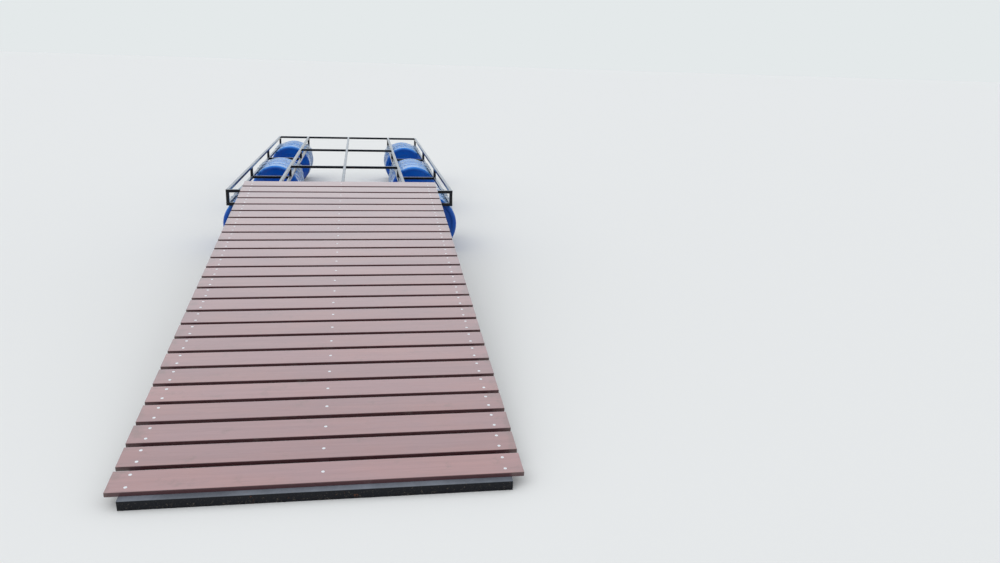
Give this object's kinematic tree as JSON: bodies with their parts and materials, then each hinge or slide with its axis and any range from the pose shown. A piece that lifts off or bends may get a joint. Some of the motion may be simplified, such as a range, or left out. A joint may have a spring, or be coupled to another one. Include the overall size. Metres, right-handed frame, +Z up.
{
  "type": "floating jetty bay with a boarded gangway",
  "caption": "Boarded gangway leaning on a welded tube frame floated by lashed plastic drums, the whole drawn up on land",
  "frame": {"origin": "on the ground, under the middle of the whole jetty's box", "axes": "+Y runs along the jetty from the shore end to the lake end, +Z is up, +X is to the right when looking towards the lake"},
  "size_m": [2.34, 10.693, 0.7364],
  "materials": {
    "deck_boards": "reddish-brown stained boards, weathered matt, with faint grain",
    "gangway_steel": "black painted steel tube, dusty on top",
    "pontoon_steel": "black gloss painted steel tube with welds",
    "drum_plastic": "royal blue moulded polyethylene, slightly dusty",
    "rope": "white twisted polypropylene rope"
  },
  "bodies": {
    "root": {"shore_planks": "deck_boards", "middle_planks": "deck_boards", "lake_planks": "deck_boards", "gangway_left_beam": "gangway_steel", "gangway_middle_beam": "gangway_steel", "gangway_right_beam": "gangway_steel", "gangway_near_bar": "gangway_steel", "gangway_far_bar": "gangway_steel", "gangway_brace_bars": "gangway_steel", "upper_near_bar": "pontoon_steel", "upper_far_bar": "pontoon_steel", "upper_centre_rail": "pontoon_steel", "upper_cross_bars": "pontoon_steel", "upper_left_outer_rail": "pontoon_steel", "upper_right_outer_rail": "pontoon_steel", "upper_left_inner_rail": "pontoon_steel", "upper_right_inner_rail": "pontoon_steel", "cradle_left_outer_rail": "pontoon_steel", "cradle_right_outer_rail": "pontoon_steel", "cradle_left_inner_rail": "pontoon_steel", "cradle_right_inner_rail": "pontoon_steel", "cradle_left_bars": "pontoon_steel", "cradle_right_bars": "pontoon_steel", "posts_left": "pontoon_steel", "posts_right": "pontoon_steel", "drum_left_near": "drum_plastic", "drum_left_middle": "drum_plastic", "drum_left_far": "drum_plastic", "drum_right_near": "drum_plastic", "drum_right_middle": "drum_plastic", "drum_right_far": "drum_plastic", "lashing_left_near": "rope", "lashing_left_middle": "rope", "lashing_left_far": "rope", "lashing_right_near": "rope", "lashing_right_middle": "rope", "lashing_right_far": "rope"}
  },
  "joints": []
}
